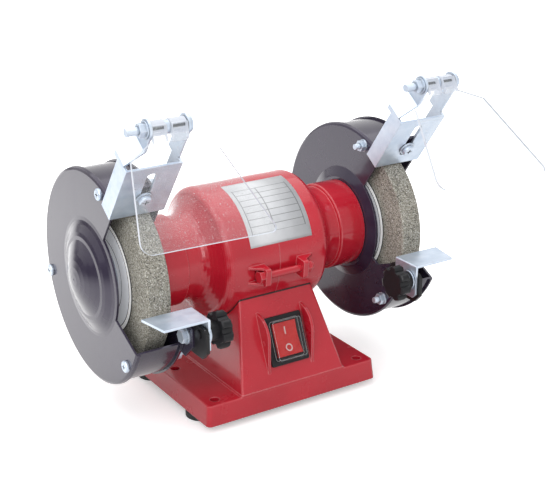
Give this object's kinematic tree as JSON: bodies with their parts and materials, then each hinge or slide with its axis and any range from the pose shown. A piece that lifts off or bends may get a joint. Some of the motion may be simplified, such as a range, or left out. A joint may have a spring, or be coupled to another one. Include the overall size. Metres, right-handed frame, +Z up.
{
  "type": "bench grinder",
  "caption": "Twin-wheel bench grinder with guarded 125 mm wheels, sliding tool rests, hinged clear eye shields and a sealed rocker switch on a cast pedestal base",
  "frame": {"origin": "Centre of the base footprint on the bench: the centre of the four feet and of the bench bolt rectangle, in the plane of the foot soles.", "axes": "+X along the shaft to the right seen from the switch side, +Y to the rear, +Z up. The front with the switch, rests and eye shields faces -Y."},
  "size_m": [0.304, 0.1875, 0.2233],
  "materials": {
    "red_enamel": "glossy red enamel on cast metal",
    "guard_paint": "semi-gloss dark grey paint",
    "black_paint": "black paint on steel",
    "zinc": "zinc plated sheet and fasteners",
    "steel": "bright turned steel",
    "stone": "bonded grey abrasive",
    "paper": "plain printed paper ring",
    "rubber": "soft black rubber",
    "black_plastic": "moulded black plastic",
    "clear_plastic": "clear polycarbonate sheet",
    "red_rocker": "translucent red rocker",
    "copper": "enamelled copper windings",
    "core_steel": "stacked laminations",
    "sheet_black": "black painted closing plate"
  },
  "bodies": {
    "base": {"base_casting": "red_enamel", "bottom_plate": "sheet_black", "foot_front_left": "rubber", "foot_front_right": "rubber", "foot_rear_left": "rubber", "foot_rear_right": "rubber", "foot_screws": "zinc", "motor_screws": "zinc", "cord_grommet": "rubber", "left_motor_shell": "red_enamel", "left_bearing": "steel", "left_outer_cover": "guard_paint", "left_inner_guard": "guard_paint", "left_guard_band": "guard_paint", "left_rest_support": "black_paint", "right_motor_shell": "red_enamel", "right_bearing": "steel", "right_outer_cover": "guard_paint", "right_inner_guard": "guard_paint", "right_guard_band": "guard_paint", "right_rest_support": "black_paint", "tie_bolts": "red_enamel", "tie_nuts": "red_enamel", "stator_core": "core_steel", "stator_windings": "copper", "capacitor": "black_plastic", "cover_screws": "zinc", "cover_nuts": "zinc", "guard_mount_screws": "zinc", "rest_bolts": "zinc", "bracket_clamp_screws": "zinc", "switch_body": "black_plastic", "switch_cap": "clear_plastic"},
    "rotor": {"shaft": "steel", "rotor_core": "core_steel", "bearing_inner_rings": "steel", "blotters": "paper", "left_wheel": "stone", "left_inner_flange": "steel", "left_outer_flange": "zinc", "left_arbor_nut": "zinc", "right_wheel": "stone", "right_inner_flange": "steel", "right_outer_flange": "zinc", "right_arbor_nut": "zinc"},
    "rocker": {"switch_rocker": "red_rocker"},
    "left_pivot": {"left_rest_washer": "zinc"},
    "left_rest": {"left_tool_rest": "zinc"},
    "left_knob": {"left_rest_knob": "black_plastic"},
    "left_bracket": {"left_shield_bracket": "zinc", "left_axle_bolt": "zinc", "left_axle_nut": "zinc"},
    "left_shield": {"left_eye_shield": "clear_plastic"},
    "right_pivot": {"right_rest_washer": "zinc"},
    "right_rest": {"right_tool_rest": "zinc"},
    "right_knob": {"right_rest_knob": "black_plastic"},
    "right_bracket": {"right_shield_bracket": "zinc", "right_axle_bolt": "zinc", "right_axle_nut": "zinc"},
    "right_shield": {"right_eye_shield": "clear_plastic"}
  },
  "joints": [
    {"name": "rotor_spin", "type": "hinge", "parent": "base", "child": "rotor", "pos_m": [0, 0, 0.1025], "axis": [1, 0, 0], "continuous": true},
    {"name": "switch_rock", "type": "hinge", "parent": "base", "child": "rocker", "pos_m": [0, -0.05219, 0.0482], "axis": [1, 0, 0], "range_deg": [0, 12]},
    {"name": "left_rest_tilt", "type": "hinge", "parent": "base", "child": "left_pivot", "pos_m": [-0.0804, -0.084, 0.085], "axis": [1, 0, 0], "range_deg": [-6, 6]},
    {"name": "left_rest_slide", "type": "slide", "parent": "left_pivot", "child": "left_rest", "axis": [0, 1, 0], "range_m": [-0.004, 0.002]},
    {"name": "left_knob_turn", "type": "hinge", "parent": "base", "child": "left_knob", "pos_m": [-0.075, -0.084, 0.085], "axis": [1, 0, 0], "range_deg": [0, 360]},
    {"name": "left_bracket_slide", "type": "slide", "parent": "base", "child": "left_bracket", "axis": [0, -0.5878, 0.809], "range_m": [-0.0015, 0.005]},
    {"name": "left_shield_tilt", "type": "hinge", "parent": "left_bracket", "child": "left_shield", "pos_m": [-0.102, -0.0719, 0.21677], "axis": [-1, 0, 0], "range_deg": [-8, 75]},
    {"name": "right_rest_tilt", "type": "hinge", "parent": "base", "child": "right_pivot", "pos_m": [0.0804, -0.084, 0.085], "axis": [1, 0, 0], "range_deg": [-6, 6]},
    {"name": "right_rest_slide", "type": "slide", "parent": "right_pivot", "child": "right_rest", "axis": [0, 1, 0], "range_m": [-0.004, 0.002]},
    {"name": "right_knob_turn", "type": "hinge", "parent": "base", "child": "right_knob", "pos_m": [0.075, -0.084, 0.085], "axis": [-1, 0, 0], "range_deg": [0, 360]},
    {"name": "right_bracket_slide", "type": "slide", "parent": "base", "child": "right_bracket", "axis": [0, -0.5878, 0.809], "range_m": [-0.0015, 0.005]},
    {"name": "right_shield_tilt", "type": "hinge", "parent": "right_bracket", "child": "right_shield", "pos_m": [0.102, -0.0719, 0.21677], "axis": [-1, 0, 0], "range_deg": [-29, 54]}
  ]
}
